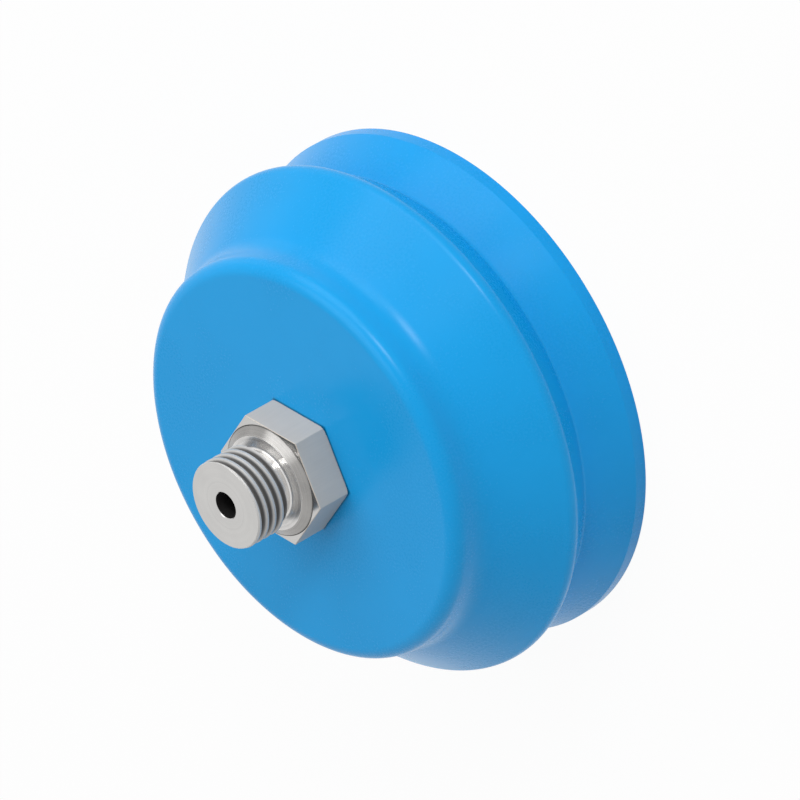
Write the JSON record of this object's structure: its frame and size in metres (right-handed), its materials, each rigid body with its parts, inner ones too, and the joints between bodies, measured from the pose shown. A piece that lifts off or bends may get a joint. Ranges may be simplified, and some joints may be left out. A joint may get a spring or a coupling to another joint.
{
  "type": "bellows suction cup",
  "caption": "Soft round bellows suction cup on a threaded metal nipple with a hexagon and a through bore for vacuum.",
  "frame": {"origin": "centre of the lip's contact plane, on the cup's axis, at the base of the part", "axes": "+Z along the cup's axis from the lip to the thread; two corners of the hexagon lie on X"},
  "size_m": [0.0808, 0.0808, 0.0466],
  "materials": {
    "elastomer": "satin moulded",
    "metal": "turned and milled"
  },
  "bodies": {
    "root": {"bellows": "elastomer", "nipple": "metal"}
  },
  "joints": []
}
